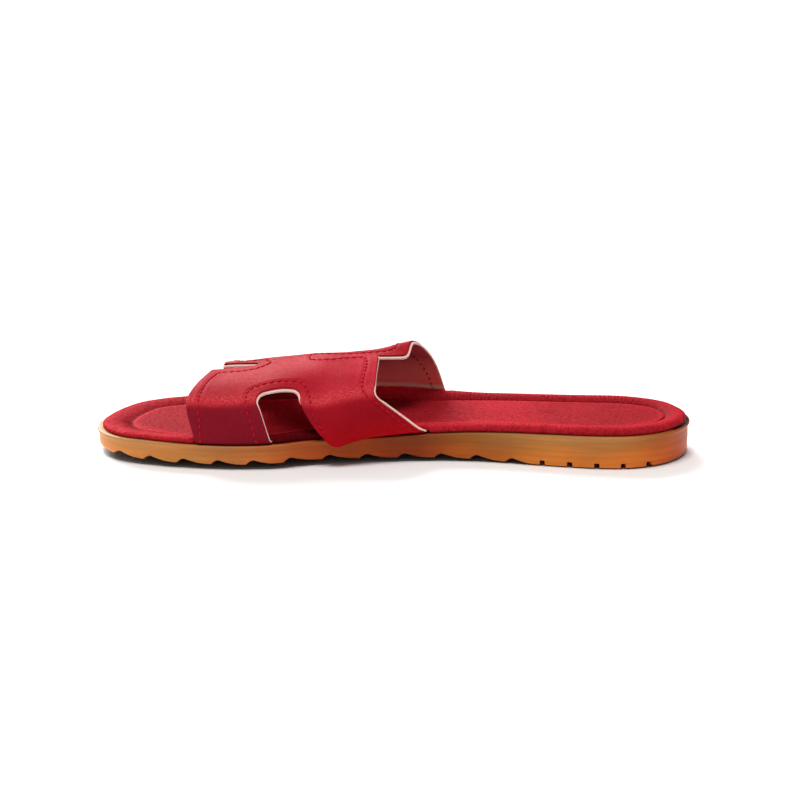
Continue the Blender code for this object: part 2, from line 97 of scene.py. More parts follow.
SECTIONS = (  # of the band, across the shoe
    # from_toe, bulge, fold_in, fold_z, shoulder, shoulder_z, near, near_z, far, far_z,
    # crest, crest_z, lateral_in, lateral_z
    (38.0, 0.0, 2.6, 27.8, 20.0, 32.2, 41.0, 33.5, 49.0, 33.9, 56.0, 33.3, 5.0, 27.0),
    (46.0, 0.0, 3.2, 28.0, 20.0, 32.6, 41.0, 33.9, 49.0, 34.4, 56.0, 33.8, 5.0, 27.4),
    (57.0, 0.0, 3.5, 28.1, 20.0, 32.9, 41.0, 34.4, 50.0, 34.9, 56.0, 34.3, 5.0, 28.0),
    (69.0, 0.0, 4.2, 29.1, 20.5, 34.0, 42.0, 35.7, 48.0, 35.8, 56.0, 35.4, 5.2, 28.8),
    (82.0, 0.0, 3.6, 29.0, 21.5, 35.4, 43.0, 37.5, 48.0, 37.4, 56.0, 37.1, 5.6, 29.8),
    (97.0, 2.2, 0.0, 26.6, 23.5, 36.1, 43.5, 39.8, 48.5, 39.0, 57.0, 38.2, 6.4, 31.0),
    (104.0, 5.2, -0.4, 28.5, 24.5, 36.2, 43.5, 40.4, 48.0, 38.8, 57.0, 38.5, 7.0, 31.5),
    (110.0, 4.6, -0.5, 29.8, 25.5, 36.4, 43.5, 40.5, 48.0, 38.8, 57.0, 38.7, 7.4, 31.8),
    (121.0, 2.9, -0.4, 30.9, 27.0, 36.8, 43.0, 40.5, 48.0, 38.8, 57.5, 39.7, 8.2, 32.2),
    (133.0, 0.6, 0.0, 31.8, 27.0, 37.4, 43.0, 40.6, 48.0, 38.9, 58.0, 42.9, 9.0, 32.2),
    (140.0, 0.0, 0.0, 32.4, 27.0, 37.6, 43.0, 40.7, 48.0, 39.2, 58.5, 44.0, 9.2, 32.0),
    (154.0, 0.0, 0.0, 32.4, 27.0, 37.6, 43.0, 40.7, 48.0, 39.4, 59.0, 44.2, 9.4, 31.0),
)
SAG_FROM, SAG_RATIO = 3.0, 2.0  # past SAG_FROM the bulge also hangs down over the sole's edge
FEATHER, FEATHER_SHIFT = 3.6, 0.78  # where the margins turn under, nearer to the edge at the bulge
MARGIN_REACH = 9.0  # how far the margins run in under the insole
# The girth of each corner of a section, from the medial margin's end to the lateral one's.
GIRTHS = np.array((-9.0, -3.6, 0.0, 18.0, 32.0, 53.0, 59.0, 68.0, 92.0, 113.0, 116.6, 122.0))
MEDIAL_EDGE, FOLD, LATERAL_FOLD, LATERAL_EDGE = 2, 3, 8, 9
ROUNDED = ((MEDIAL_EDGE, 3.2), (FOLD, 4.6), (LATERAL_FOLD, 9.0), (LATERAL_EDGE, 3.2))  # each with its reach

PATTERN = (  # the band's outline, laid flat
    # from_toe, girth, corner
    (46.5, -9.0, 1.0), (46.0, 0.0, 5.0), (40.8, 18.5, 8.0), (46.0, 36.5, 10.0),
    (49.6, 54.2, 1.6), (69.6, 54.8, 2.2), (69.2, 58.4, 2.2), (53.8, 59.0, 1.6),
    (56.5, 67.0, 4.0), (50.0, 92.0, 12.0), (54.5, 113.0, 5.0), (55.0, 122.0, 1.0),
    (86.0, 122.0, 1.0), (86.0, 113.0, 4.0), (80.2, 93.5, 4.5), (84.5, 87.0, 5.0),
    (97.0, 86.8, 5.0), (99.0, 94.0, 7.0), (109.0, 113.0, 4.0), (109.5, 122.0, 1.0),
    (153.0, 122.0, 1.0), (153.9, 113.0, 5.0), (147.5, 88.2, 12.0), (137.7, 68.0, 4.0),
    (135.1, 59.0, 3.0), (98.0, 58.4, 2.2), (98.0, 53.6, 2.2), (122.8, 53.0, 1.6),
    (121.1, 17.0, 4.0), (143.0, 0.0, 2.0), (143.0, -9.0, 1.0), (101.2, -9.0, 1.0),
    (101.4, -0.6, 1.3), (97.8, 3.0, 4.0), (93.8, 9.2, 5.0), (90.2, 16.6, 4.0),
    (88.7, 23.9, 3.0), (80.8, 24.2, 6.0), (73.2, 22.6, 3.5), (71.8, 18.4, 3.5),
    (78.0, 0.0, 3.0), (78.0, -9.0, 1.0),
)
LEGS = (  # where each leg goes down beside the insole: from_toe start and end, side
    (45.4, 78.6, -1),
    (99.6, 143.6, -1),
    (53.9, 86.6, 1),
    (108.4, 154.4, 1),
)

# ---- the band's make: a red skin over a pale lining that shows at every cut edge ----

SKIN_SHARE = 0.4  # of the wall
SHOWING = 0.7  # how far the lining shows past the skin at a cut edge
OTHER_EDGES = (
    # from_toe from, to, girth from, to, showing: below 0 the skin is turned in over the lining
    (36.0, 53.0, -10.0, 54.6, -0.5),
    (49.0, 70.0, 54.0, 56.6, -0.3),
    (52.0, 58.0, 59.6, 70.0, -0.5),
    (70.5, 79.5, -10.0, 16.0, 0.35),
    (87.6, 104.0, -10.0, 20.0, -0.4),
    (118.0, 124.0, 22.0, 50.0, 0.15),
    (120.5, 144.0, -1.0, 16.0, 0.75),
    (125.0, 156.0, 56.0, 112.0, 0.7),
)
DARK_EDGES = (  # cut edges in shade, along the notches: from_toe start and end, girth
    (49.0, 71.0, 58.7),
    (101.0, 108.5, 53.3),
)
LINING_BORDER = 0.6  # how far the pale cut edge shows on the lining's inner face
OUTER_BORDER = 3.5  # how much further it shows on the outer face, where the skin ends
SKIN_ROUND, LINING_ROUND = 0.45, 0.4  # radius of the cut edges
SHEET_SPACING, EDGE_SPACING = 0.95, 0.8  # of the mesh's points

STITCH_PITCH = 3.0
STITCH_SPAN, KNOT_SPAN = (0.13, 0.87), (-0.14, 0.14)  # as shares of the way to the next needle hole
STITCH_LEAN, ENDS_SINK = 0.06, 0.42  # sideways and into the leather
STITCH_RISE, SKIN_RISE = 0.12, -0.05  # out of the face, and what the skin adds to it
THREAD, THREAD_SIDES = 0.4, 7  # radius, and sides of each tube
SEAM_SPACING, SEAM_LINES = 0.5, (-1.3, -0.65, 0.0, 0.65, 1.3)  # mesh points along and beside a seam
EDGE_RINGS, EDGE_CLEAR = (0.15, 0.35, 0.75), 0.12  # mesh points along the cut edge
TROUGH, DIMPLE, PUFF, PUFF_AT = (0.08, 0.6), (0.24, 0.7), (0.12, 0.8), 1.5  # size and width at a seam
CRINKLES, WAVES = 0.16, 0.35  # how far the leather's fine and slow unevenness reach
REAR_LEG = (84.0, 14.0)  # from_toe at which the rear leg's looks begin, and their blend
OVER_FOLD = (19.0, 60.0, 6.0)  # girth from, to, and blend
# Painted light on the band: painted shade on the front leg's side, painted light low on the rear leg's side
# and over its fold. Painted sheen greys the front leg's side and the fold, and less of it reddens the rear
# leg low down.
FRONT_DARKER, REAR_DARKER, LOW_BRIGHTER, OVER_BRIGHTER = 0.33, 0.03, 0.38, 0.1
FRONT_GREYER, LOW_REDDER, OVER_GREYER = 0.9, 0.5, 0.4
EDGE_DARKER, EDGE_DARK_WIDTH = 0.65, 0.55
WEAR_AND_HIGHLIGHT_AT, WEAR_AND_HIGHLIGHT_UP, WEAR_AND_HIGHLIGHT_DOWN, REAR_WEAR_AND_HIGHLIGHT = 0.8, 3.2, 1.7, 0.45  # of the medial fold's crazed grain and its painted highlight
LATERAL_WEAR_AND_HIGHLIGHT, LATERAL_SPREAD = 0.6, 6.0
BARE_MARGIN, PALE_MARGIN = (103.5, 1.2), (86.0, 16.0)  # of the lining: girth from, and blend
STITCH_ROWS = {
    # from_toe, girth, corner
    "front": (
        (48.0, -1.0, 1.0), (48.0, 7.0, 5.0), (46.6, 19.5, 8.0), (49.4, 34.0, 8.0),
        (53.4, 49.8, 2.5), (63.5, 47.4, 5.0), (70.0, 48.6, 5.0), (76.0, 54.5, 4.0),
        (74.0, 63.5, 5.0), (60.5, 63.8, 2.5), (61.0, 69.0, 4.0), (54.8, 92.0, 12.0),
        (59.0, 113.5, 4.0),
    ),
    "medial_window": (
        (72.2, -1.0, 1.0), (69.7, 7.3, 4.0), (66.5, 17.5, 5.0), (67.3, 25.8, 4.5),
        (77.0, 29.0, 7.0), (90.4, 28.4, 3.5), (93.6, 22.4, 4.0), (94.4, 15.0, 5.0),
        (96.6, 9.6, 4.0), (100.2, 3.2, 2.0),
    ),
    "lateral_window": (
        (81.2, 114.0, 1.0), (80.6, 110.0, 4.0), (75.4, 93.0, 5.0), (81.6, 82.6, 6.0),
        (99.4, 82.0, 6.0), (103.6, 92.5, 6.0), (112.6, 110.0, 4.0), (113.4, 114.0, 1.0),
    ),
    "rear": (
        (139.4, -0.6, 1.0), (122.4, 13.0, 6.0), (114.8, 19.8, 5.0), (117.2, 36.0, 8.0),
        (117.2, 49.8, 2.5), (101.0, 45.0, 6.0), (92.4, 48.4, 4.0), (92.0, 63.6, 4.0),
        (129.6, 63.4, 3.0), (130.8, 70.0, 4.0), (139.6, 88.5, 12.0), (144.8, 98.5, 8.0),
        (148.6, 113.5, 4.0),
    ),
}


def growing(at, start, length):
    """0 up to the start, then growing to 1 over the length. A length below 0 grows the other way."""
    return np.clip((at - start) / length, 0.0, 1.0)


def between(at, low, high, blend):
    """1 between low and high, falling to 0 at both over the blend inside them."""
    return np.clip(np.minimum(at - low, high - at) / blend, 0.0, 1.0)


def hump(off, width):
    """1 where off is 0, fading over the width on both sides."""
    return np.exp(-((off / width) ** 2))


def noise_at(x, y, z):
    return np.array([noise.noise(Vector(place)) for place in np.broadcast(x, y, z)])


def unit(rows):
    return rows / np.linalg.norm(rows, axis=1, keepdims=True)


def hermite(start, end, value_a, value_b, slope_a, slope_b, at):
    """A cubic from value_a to value_b that leaves and arrives with the given slopes."""
    span = end - start
    s = (at - start) / span
    return (
        value_a * (1 + 2 * s) * (1 - s) ** 2
        + value_b * s * s * (3 - 2 * s)
        + span * (slope_a * s * (1 - s) ** 2 - slope_b * s * s * (1 - s))
    )


def through(knots, values, at):
    """Values at places on the smooth curve through the knots. values is one column, or one column
    for each place."""
    knots, at = np.asarray(knots, float), np.asarray(at, float)
    values = np.asarray(values, float)
    if values.ndim == 1:
        values = values[:, None] + np.zeros(at.size)
    place = np.arange(at.size)
    at = np.clip(at.ravel(), knots[0], knots[-1])
    last = len(knots) - 1
    i = np.clip(np.searchsorted(knots, at, side="right") - 1, 0, last - 1)

    def slope(k):
        low, high = np.maximum(k - 1, 0), np.minimum(k + 1, last)
        return (values[high, place] - values[low, place]) / (knots[high] - knots[low])

    return hermite(
        knots[i], knots[i + 1], values[i, place], values[i + 1, place], slope(i), slope(i + 1), at
    )


def smooth(table, at, column):
    """A column of a table on the smooth curve through its rows."""
    rows = np.array(table)
    return through(rows[:, 0], rows[:, column], np.atleast_1d(at))


def height(from_toe, column):
    return np.maximum(smooth(PROFILE, from_toe, column), 0.0)


def end_rounding(from_toe):
    """1 along the shoe, falling to 0 at the toe tip and at the heel's back as an ellipse does."""
    toe, heel = growing(from_toe, 0.0, TOE_CAP), growing(from_toe, LENGTH, -HEEL_CAP)
    return np.sqrt(np.maximum((1 - (1 - toe) ** 2) * (1 - (1 - heel) ** 2), 0.0))


def edge(from_toe, side):
    """How far across the sole's edge is, on the medial (-1) or lateral (1) side."""
    from_toe = np.atleast_1d(from_toe)
    half = smooth(OUTLINE, from_toe, 2) * end_rounding(from_toe)
    return smooth(OUTLINE, from_toe, 1) + side * half


def off_centre(points):
    """How far points of (from_toe, across) lie to the lateral side of the sole's centre line."""
    return points[:, 1] - smooth(OUTLINE, points[:, 0], 1)


def placed(from_toe, across, z):
    """Points of the shoe in the frame, in metres."""
    return np.stack([from_toe - LENGTH / 2, across - MIDLINE, z + 0 * from_toe], axis=-1) * MM


# ---- the band's outer face, as a function of from_toe and girth ----


def section_corners(from_toe):
    """The corners of the sections as an array of corner, (across, z), place."""
    row = [smooth(SECTIONS, from_toe, c) for c in range(1, len(SECTIONS[0]))]
    bulge, fold_in, fold_z, *top, lateral_in, lateral_z = row
    bulge = np.maximum(bulge, 0.0)
    sag = SAG_RATIO * np.maximum(bulge - SAG_FROM, 0.0)
    medial, lateral = edge(from_toe, -1), edge(from_toe, 1)
    base = height(from_toe, TOP) + GAP
    return np.array(
        [
            (medial + MARGIN_REACH, base),
            (medial + FEATHER - FEATHER_SHIFT * bulge, base),
            (medial - bulge, base - sag),
            (medial + fold_in, fold_z),
            *zip(top[::2], top[1::2]),
            (lateral - lateral_in, lateral_z),
            (lateral, base),
            (lateral - FEATHER, base),
            (lateral - MARGIN_REACH, base),
        ]
    )


def unrounded(corners, girth):
    """The sections with straight sides and a smooth top, before their corners are rounded."""
    girth = girth + np.zeros(corners.shape[2])
    k = np.clip(np.searchsorted(GIRTHS, girth, side="right") - 1, 0, len(GIRTHS) - 2)
    k = np.where(girth == GIRTHS[FOLD], FOLD - 1, k)
    s = (girth - GIRTHS[k]) / (GIRTHS[k + 1] - GIRTHS[k])
    place = np.arange(girth.size)
    flat = corners[k, :, place].T * (1 - s) + corners[k + 1, :, place].T * s
    top = slice(FOLD, LATERAL_FOLD + 1)
    curved = np.array([through(GIRTHS[top], corners[top, axis], girth) for axis in (0, 1)])
    on_top = (girth > GIRTHS[FOLD]) & (girth < GIRTHS[LATERAL_FOLD])
    return np.where(on_top, curved, flat)


def face_point(from_toe, girth):
    """The outside of the band, in the frame, in metres."""
    from_toe, girth = np.atleast_1d(from_toe).astype(float), np.atleast_1d(girth).astype(float)
    corners = section_corners(from_toe)
    found = unrounded(corners, girth)
    for k, reach in ROUNDED:
        start, end = GIRTHS[k] - reach, GIRTHS[k] + reach
        a, b = unrounded(corners, start), unrounded(corners, end)
        slope_a = (a - unrounded(corners, start - 0.05)) / 0.05
        slope_b = (unrounded(corners, end + 0.05) - b) / 0.05
        bend = hermite(start, end, a, b, slope_a, slope_b, girth)
        found = np.where((girth > start) & (girth < end), bend, found)
    return placed(from_toe, found[0], found[1])


def face_normal(from_toe, girth):
    """Out of the band's outer face."""
    along = face_point(from_toe + 0.5, girth) - face_point(from_toe - 0.5, girth)
    low, high = np.maximum(girth - 0.4, GIRTHS[0]), np.minimum(girth + 0.4, GIRTHS[-1])
    round_it = face_point(from_toe, high) - face_point(from_toe, low)
    return unit(np.cross(along, round_it))


def wall(girth):
    """The band's thickness, thinned to the skived margins at the sole's edge."""
    up_the_side = np.minimum(girth - GIRTHS[MEDIAL_EDGE], GIRTHS[LATERAL_EDGE] - girth)
    share = growing(up_the_side, 1.0, 6.0)
    return SKIVED + (WALL - SKIVED) * share * share * (3 - 2 * share)


# ---- paths and flat sheets ----


def rounded_path(corners, spacing, closed):
    """Points at the spacing along the path through the corners, each rounded by its reach."""
    spots = np.array([c[:2] for c in corners])
    path = []
    for k, (*_, radius) in enumerate(corners):
        here = spots[k]
        if not closed and k in (0, len(corners) - 1):
            path.append(here)
            continue
        before, after = spots[k - 1] - here, spots[(k + 1) % len(corners)] - here
        lengths = np.linalg.norm(before), np.linalg.norm(after)
        reach = min(radius, lengths[0] * 0.45, lengths[1] * 0.45)
        a, b = here + before / lengths[0] * reach, here + after / lengths[1] * reach
        for s in np.linspace(0, 1, max(4, int(2 * reach / 0.4))):
            path.append(a * (1 - s) ** 2 + here * 2 * s * (1 - s) + b * s * s)
    path = np.array(path + path[:1] if closed else path)
    return evenly(path, spacing, closed)


def run_along(path):
    """How far along the path each of its points is."""
    return np.concatenate([[0.0], np.cumsum(np.linalg.norm(np.diff(path, axis=0), axis=1))])


def at_stops(path, run, stops):
    """Points of a flat path where its run is at the stops."""
    return np.stack([np.interp(stops, run, path[:, axis]) for axis in (0, 1)], axis=1)


def evenly(path, spacing, closed):
    """The path's points moved to an even spacing along it."""
    run = run_along(path)
    stops = np.linspace(0, run[-1], int(round(run[-1] / spacing)) + 1)
    return at_stops(path, run, stops[:-1] if closed else stops)


def smoothed(values, rounds):
    """Values along a closed loop, each drawn towards its neighbours."""
    for _ in range(rounds):
        values = (np.roll(values, 1, axis=0) + 2 * values + np.roll(values, -1, axis=0)) / 4
    return values


def leftward(steps):
    """Unit vectors to the left of the steps of a flat path."""
    return unit(np.stack([-steps[:, 1], steps[:, 0]], axis=1))


def moved_in(loop, distance):
    """A closed loop moved into what it encloses by a distance."""
    following = np.roll(loop, -1, axis=0)
    turning = np.sign(np.sum(loop[:, 0] * following[:, 1] - loop[:, 1] * following[:, 0]))
    return loop + leftward(following - np.roll(loop, 1, axis=0)) * distance * turning


def inside(points, loop):
    """Which points lie inside a closed loop."""
    a, b = loop, np.roll(loop, 1, axis=0)
    odd = np.zeros(len(points), bool)
    for (ax, ay), (bx, by) in zip(a, b):
        if ay == by:
            continue
        crosses = (ay > points[:, 1]) != (by > points[:, 1])
        odd ^= crosses & (points[:, 0] < (bx - ax) * (points[:, 1] - ay) / (by - ay) + ax)
    return odd


def distance_to(points, path, closed=False):
    """Each point's distance to a path."""
    a = path if closed else path[:-1]
    b = np.roll(path, -1, axis=0) if closed else path[1:]
    nearest = np.full(len(points), 1e9)
    for start, end in zip(a, b):
        run = end - start
        s = np.clip((points - start) @ run / max(run @ run, 1e-12), 0.0, 1.0)
        gap = np.linalg.norm(start + s[:, None] * run - points, axis=1)
        nearest = np.minimum(nearest, gap)
    return nearest


def sheet(loop, spacing, lines=()):
    """Triangles that fill a closed loop: its points, points on the given lines, and a grid."""
    low, high = loop.min(0), loop.max(0)
    grid = []
    for k, y in enumerate(np.arange(low[1], high[1], spacing * 0.87)):  # near-equilateral
        x = np.arange(low[0] + (spacing / 2 if k % 2 else 0.0), high[0], spacing)
        grid.append(np.stack([x, x * 0 + y], axis=1))
    grid = np.concatenate(grid)
    grid = grid[inside(grid, loop)]
    grid = grid[distance_to(grid, loop, True) > spacing * 0.5]
    own = [line[inside(line, loop)] for line in lines]
    own = [line[distance_to(line, loop, True) > EDGE_CLEAR] for line in own if len(line)]
    for line in own:
        if len(line) > 1:
            grid = grid[distance_to(grid, line) > spacing * 0.4]
    points = np.concatenate([loop, *own, grid])
    ring = [(k, (k + 1) % len(loop)) for k in range(len(loop))]
    flat, _, faces, _, _, _ = delaunay_2d_cdt([Vector(p) for p in points], ring, [], 1, 1e-5)
    return np.array([tuple(p) for p in flat]), faces


def cap(ring, first, start, spacing):
    """The points that fill a ring, and the faces between them. The faces take the ring's own points
    from first on and the new ones from start on."""
    flat, own = sheet(ring[:, :2], spacing)
    count = len(ring)
    faces = [[first + k if k < count else start + k - count for k in f] for f in own]
    return flat[count:], faces


def ring_faces(rings, size):
    """The faces between closed rings of points that follow one another."""
    faces = []
    for r in range(rings - 1):
        for k in range(size):
            n = (k + 1) % size
            faces.append((r * size + k, r * size + n, (r + 1) * size + n, (r + 1) * size + k))
    return faces


def added(name, data):
    made = bpy.data.objects.new(name, data)
    bpy.context.scene.collection.objects.link(made)
    return made


def mesh_object(name, vertices, faces, smooth_angle=60.0):
    data = bpy.data.meshes.new(name)
    data.from_pydata(np.asarray(vertices).tolist(), [], [list(f) for f in faces])
    data.validate()
    data.shade_smooth()
    data.set_sharp_from_angle(angle=math.radians(smooth_angle))
    return added(name, data)


# ---- the band ----


def set_values(made, key, values):
    made.data.attributes.new(key, "FLOAT", "POINT").data.foreach_set("value", values)


def second_material(made, chosen):
    """Gives the second material to the faces whose points are all chosen."""
    picked = [int(all(chosen[k] for k in face.vertices)) for face in made.data.polygons]
    made.data.polygons.foreach_set("material_index", picked)


def stitch_stops(path):
    """Where the needle went through: places along a path a stitch apart, measured on the face."""
    run = run_along(face_point(path[:, 0], path[:, 1]) / MM)
    count = max(2, int(round(run[-1] / STITCH_PITCH)))
    return at_stops(path, run, np.linspace(0, run[-1], count + 1))


def unevenness(points):
    """The slow unevenness of the whole band and the crinkles along its folds."""
    u, g = points.T
    crinkle = noise_at(u * 0.55, g * 0.30, 3.0) + 0.6 * noise_at(u * 0.95, g * 0.8, 7.0)
    folds = hump(g - GIRTHS[FOLD], 2.8) + 0.6 * hump(g - GIRTHS[LATERAL_FOLD], 6.0)
    return CRINKLES * crinkle * folds + WAVES * noise_at(u * 0.07, g * 0.05, 9.0)


def relief(points, paths, stops):
    """How far the skin stands out of the plain face: pressed in by its stitches and full between
    them and its edges."""
    out = unevenness(points)
    for name, path in paths.items():
        gap = distance_to(points, path)
        out += PUFF[0] * hump(gap - PUFF_AT, PUFF[1]) - TROUGH[0] * hump(gap, TROUGH[1])
        for hole in stops.get(name, ()):
            out -= DIMPLE[0] * hump(np.linalg.norm(points - hole, axis=1), DIMPLE[1])
    return out


def showing(loop):
    """How far the lining stands out past the skin along the pattern's edge, below 0 where it hides."""
    found = np.full(len(loop), SHOWING)
    for low, high, girth_low, girth_high, shown in OTHER_EDGES:
        along = (loop[:, 0] > low) & (loop[:, 0] < high)
        found[along & (loop[:, 1] > girth_low) & (loop[:, 1] < girth_high)] = shown
    return smoothed(found, 8)


def leather_painted_light(from_toe, girth):
    """Painted light on the leather, as a tint and a painted sheen: painted shade darkens the front leg's
    side and painted sheen greys it, painted light brightens the rear leg low down and less sheen reddens
    it, a little painted light and painted sheen over the rear leg's fold, and painted shade at some cut
    edges."""
    side, rear = growing(girth, GIRTHS[FOLD], -3.0), growing(from_toe, *REAR_LEG)
    over = rear * between(girth, *OVER_FOLD)
    on_side = rear * (LOW_BRIGHTER * growing(girth, 9.0, -9.0) - REAR_DARKER)
    painted_light = 1.0 + side * (on_side - FRONT_DARKER * (1 - rear)) + OVER_BRIGHTER * over
    for start, end, at in DARK_EDGES:
        dark = between(from_toe, start, end, 1.0) * hump(girth - at, EDGE_DARK_WIDTH)
        painted_light = painted_light * (1 - EDGE_DARKER * dark)
    on_side = FRONT_GREYER * (1 - rear) - LOW_REDDER * rear * growing(girth, 12.0, -10.0)
    return painted_light, 1.0 + side * on_side + OVER_GREYER * over


def fold_wear_and_highlight(from_toe, girth):
    """1 on the folds, fading faster down the side than over the top, and strongest on the rear leg. It
    drives the folds' crazed grain, which is wear, and their painted highlight.
    """
    above = girth - GIRTHS[FOLD] - WEAR_AND_HIGHLIGHT_AT
    fold = hump(above, np.where(above > 0, WEAR_AND_HIGHLIGHT_UP, WEAR_AND_HIGHLIGHT_DOWN))
    fold = np.maximum(fold, LATERAL_WEAR_AND_HIGHLIGHT * hump(girth - GIRTHS[LATERAL_FOLD], LATERAL_SPREAD))
    medial_rear = growing(from_toe, *REAR_LEG) * (girth < GIRTHS[LATERAL_FOLD] / 2)
    return fold * (1.0 + REAR_WEAR_AND_HIGHLIGHT * medial_rear)


def seam_lines(paths):
    """Rows of mesh points on and beside every row of stitches."""
    lines = []
    for path in paths.values():
        beside = leftward(np.gradient(path, axis=0))
        lines += [path[::2] + beside[::2] * way for way in SEAM_LINES]
    return lines


def closed_shell(faces, count):
    """The faces, their turned copies count points on, and a strip between the two's open edges."""
    shell = [tuple(f) for f in faces] + [tuple(count + k for k in reversed(f)) for f in faces]
    edges = dict.fromkeys(pair for f in faces for pair in zip(f, f[1:] + f[:1]))
    return shell + [(b, a, count + a, count + b) for a, b in edges if (b, a) not in edges]


def layer(name, lined, depths, rounding, paths, stops, border=0.0):
    """One layer of the band, between two shares of the wall's depth, with a rounded cut edge. Faces
    within the border of the cut edge take the second material."""
    loop = rounded_path(PATTERN, EDGE_SPACING, True)
    loop = moved_in(loop, np.maximum(-showing(loop) if lined else showing(loop), 0.0)[:, None])
    lines = seam_lines(paths) if stops else []
    for step in EDGE_RINGS:
        ring = moved_in(loop, step)
        lines.append(ring[distance_to(ring, loop, True) > step * 0.9])
    points, faces = sheet(loop, SHEET_SPACING, lines)
    from_edge = distance_to(points, loop, True)
    u, girth = points[:, 0], points[:, 1]
    face, out, thick = face_point(u, girth), face_normal(u, girth), wall(girth)
    full = rounding * thick / WALL
    tuck = np.clip(1 - from_edge / full, 0.0, 1.0)
    drop = full * (1 - np.sqrt(np.maximum(1 - tuck**2, 0.0)))
    raised = relief(points, paths, stops)
    raised *= between(girth, GIRTHS[MEDIAL_EDGE], GIRTHS[LATERAL_EDGE], 4.0)
    outer = face + out * ((raised - depths[0] * thick - drop) * MM)[:, None]
    inner = face + out * ((raised - depths[1] * thick + drop * 0.6) * MM)[:, None]
    made = mesh_object(name, np.concatenate([outer, inner]), closed_shell(faces, len(points)), 55.0)
    margin = 0.5 * growing(girth, *BARE_MARGIN) + 0.5 * growing(girth, *PALE_MARGIN)
    # The fold's wear and painted highlight, the lining's margin, and the leather's painted light and
    # painted sheen.
    shading = fold_wear_and_highlight(u, girth), margin, *leather_painted_light(u, girth)
    for key, values in zip(("fold", "margin", "painted_light", "painted_sheen"), shading):
        set_values(made, key, np.tile(values, 2))
    second_material(made, np.concatenate([from_edge < border * OUTER_BORDER, from_edge < border]))
    return made


def tube(centres, sides_up, radii):
    """Vertices and faces of a closed tube along the centres. sides_up gives each ring's up."""
    along = unit(np.gradient(centres, axis=0))
    across = unit(np.cross(along, sides_up))
    up = np.cross(across, along)
    count = len(centres)
    rows, faces = [], []
    for k in range(THREAD_SIDES):
        turn = 2 * math.pi * k / THREAD_SIDES
        rows.append(centres + (across * math.cos(turn) + up * math.sin(turn)) * radii[:, None])
        a, b = k * count, (k + 1) % THREAD_SIDES * count
        faces += [(a + m, b + m, b + m + 1, a + m + 1) for m in range(count - 1)]
    faces.append([k * count for k in reversed(range(THREAD_SIDES))])
    faces.append([k * count + count - 1 for k in range(THREAD_SIDES)])
    return np.concatenate(rows), faces


def stitches(name, stops, span, side):
    """Thread bars that dip into the leather at both ends. span is each bar's start and end, as shares
    of the way from one needle hole to the next. side is 1 on the skin and -1 on the lining."""
    vertices, faces, count = [], [], 0
    along = np.linspace(0, 1, 7)
    arch = np.sin(np.pi * along)
    share = (span[0] + (span[1] - span[0]) * along)[:, None]
    for row in stops.values():
        for a, b in zip(row, row[1:]):
            lean = RNG.normal(0.0, STITCH_LEAN)
            sideways = np.array([-(b - a)[1], (b - a)[0]]) / np.linalg.norm(b - a)
            spots = a + (b - a) * share + sideways * ((along - 0.5) * 2 * lean)[:, None]
            face, out = face_point(*spots.T), face_normal(*spots.T) * side
            depth = wall(spots[:, 1]) if side < 0 else SKIN_RISE
            lift = (arch**0.6 - 1) * ENDS_SINK + STITCH_RISE + depth + side * unevenness(spots)
            centres = face + out * (lift * MM)[:, None]
            points, own = tube(centres, out, THREAD * (0.6 + 0.4 * arch**0.5) * MM)
            vertices.append(points)
            faces += [[count + k for k in f] for f in own]
            count += len(points)
    return mesh_object(name, np.concatenate(vertices), faces, 80.0)


def make_band():
    paths = {name: rounded_path(row, SEAM_SPACING, False) for name, row in STITCH_ROWS.items()}
    stops = {name: stitch_stops(path) for name, path in paths.items()}
    skin = layer("upper_skin", False, (0.0, SKIN_SHARE), SKIN_ROUND, paths, stops)
    under_skin = (SKIN_SHARE + 0.01, 1.0)
    lining = layer("upper_lining", True, under_skin, LINING_ROUND, paths, {}, LINING_BORDER)
    top_thread = stitches("upper_stitches", stops, STITCH_SPAN, 1)
    under_thread = stitches("lining_stitches", stops, KNOT_SPAN, -1)
    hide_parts("upper")
    skin.data.materials.append(band_leather())
    for material in (lining_material(), cut_edge_material()):
        lining.data.materials.append(material)
    top_thread.data.materials.append(thread_material())
    under_thread.data.materials.append(knot_material())
    return skin, lining, top_thread, under_thread


# ---- the insole ----

OUTLINE_SPACING, OUTLINE_ROUNDS = 0.42, 28  # of the outline's points, and of their smoothing
BED_SPACING, UNDER_SPACING = 2.2, 6.0  # of the mesh's points
COVER_UNDER = 0.1  # of its flat underside over the sole's top
COVER_IN, LEG_IN, TOE_IN, HEEL_IN = 1.5, 1.3, 0.8, 0.9  # how far in its side stands, and what is added
LEG_NARROWS, LEG_LIFTS, LEG_BLEND = 0.08, 1.3, 1.2  # beside a leg, over its margin, and along it
PLEAT_IN, PLEAT_DOWN, PLEAT_PITCH = 0.45, 0.40, 1.75
CROWN, CROWN_REACH = 0.25, 14.0  # of the bed
COVER_PROFILE = (
    # inset from the cover's side, rise as a share of the rim's height, extra rise, pleat share
    (0.45, 0.00, 0.00, 0.0),
    (0.10, 0.08, 0.35, 0.6),
    (0.00, 0.25, 0.30, 1.0),
    (0.08, 0.45, 0.25, 1.0),
    (0.35, 0.64, 0.20, 1.0),
    (0.85, 0.79, 0.15, 1.0),
    (1.55, 0.90, 0.10, 1.0),
    (2.40, 0.97, 0.05, 0.8),
    (3.30, 1.00, 0.00, 0.5),
    (4.30, 0.985, 0.00, 0.4),
    (5.30, 0.945, 0.00, 0.5),
    (6.30, 0.875, 0.00, 0.6),
    (7.30, 0.775, 0.00, 0.7),
    (8.20, 0.655, 0.00, 0.7),
    (9.00, 0.515, 0.00, 0.7),
    (9.70, 0.365, 0.00, 0.6),
    (10.25, 0.22, 0.00, 0.4),
    (10.70, 0.08, 0.00, 0.2),
    (11.00, 0.00, 0.00, 0.0),
    (11.30, 0.00, 0.12, 0.0),
    (11.60, 0.00, 0.46, 0.0),
    (12.10, 0.00, 0.66, 0.0),
    (13.00, 0.00, 0.76, 0.0),
)
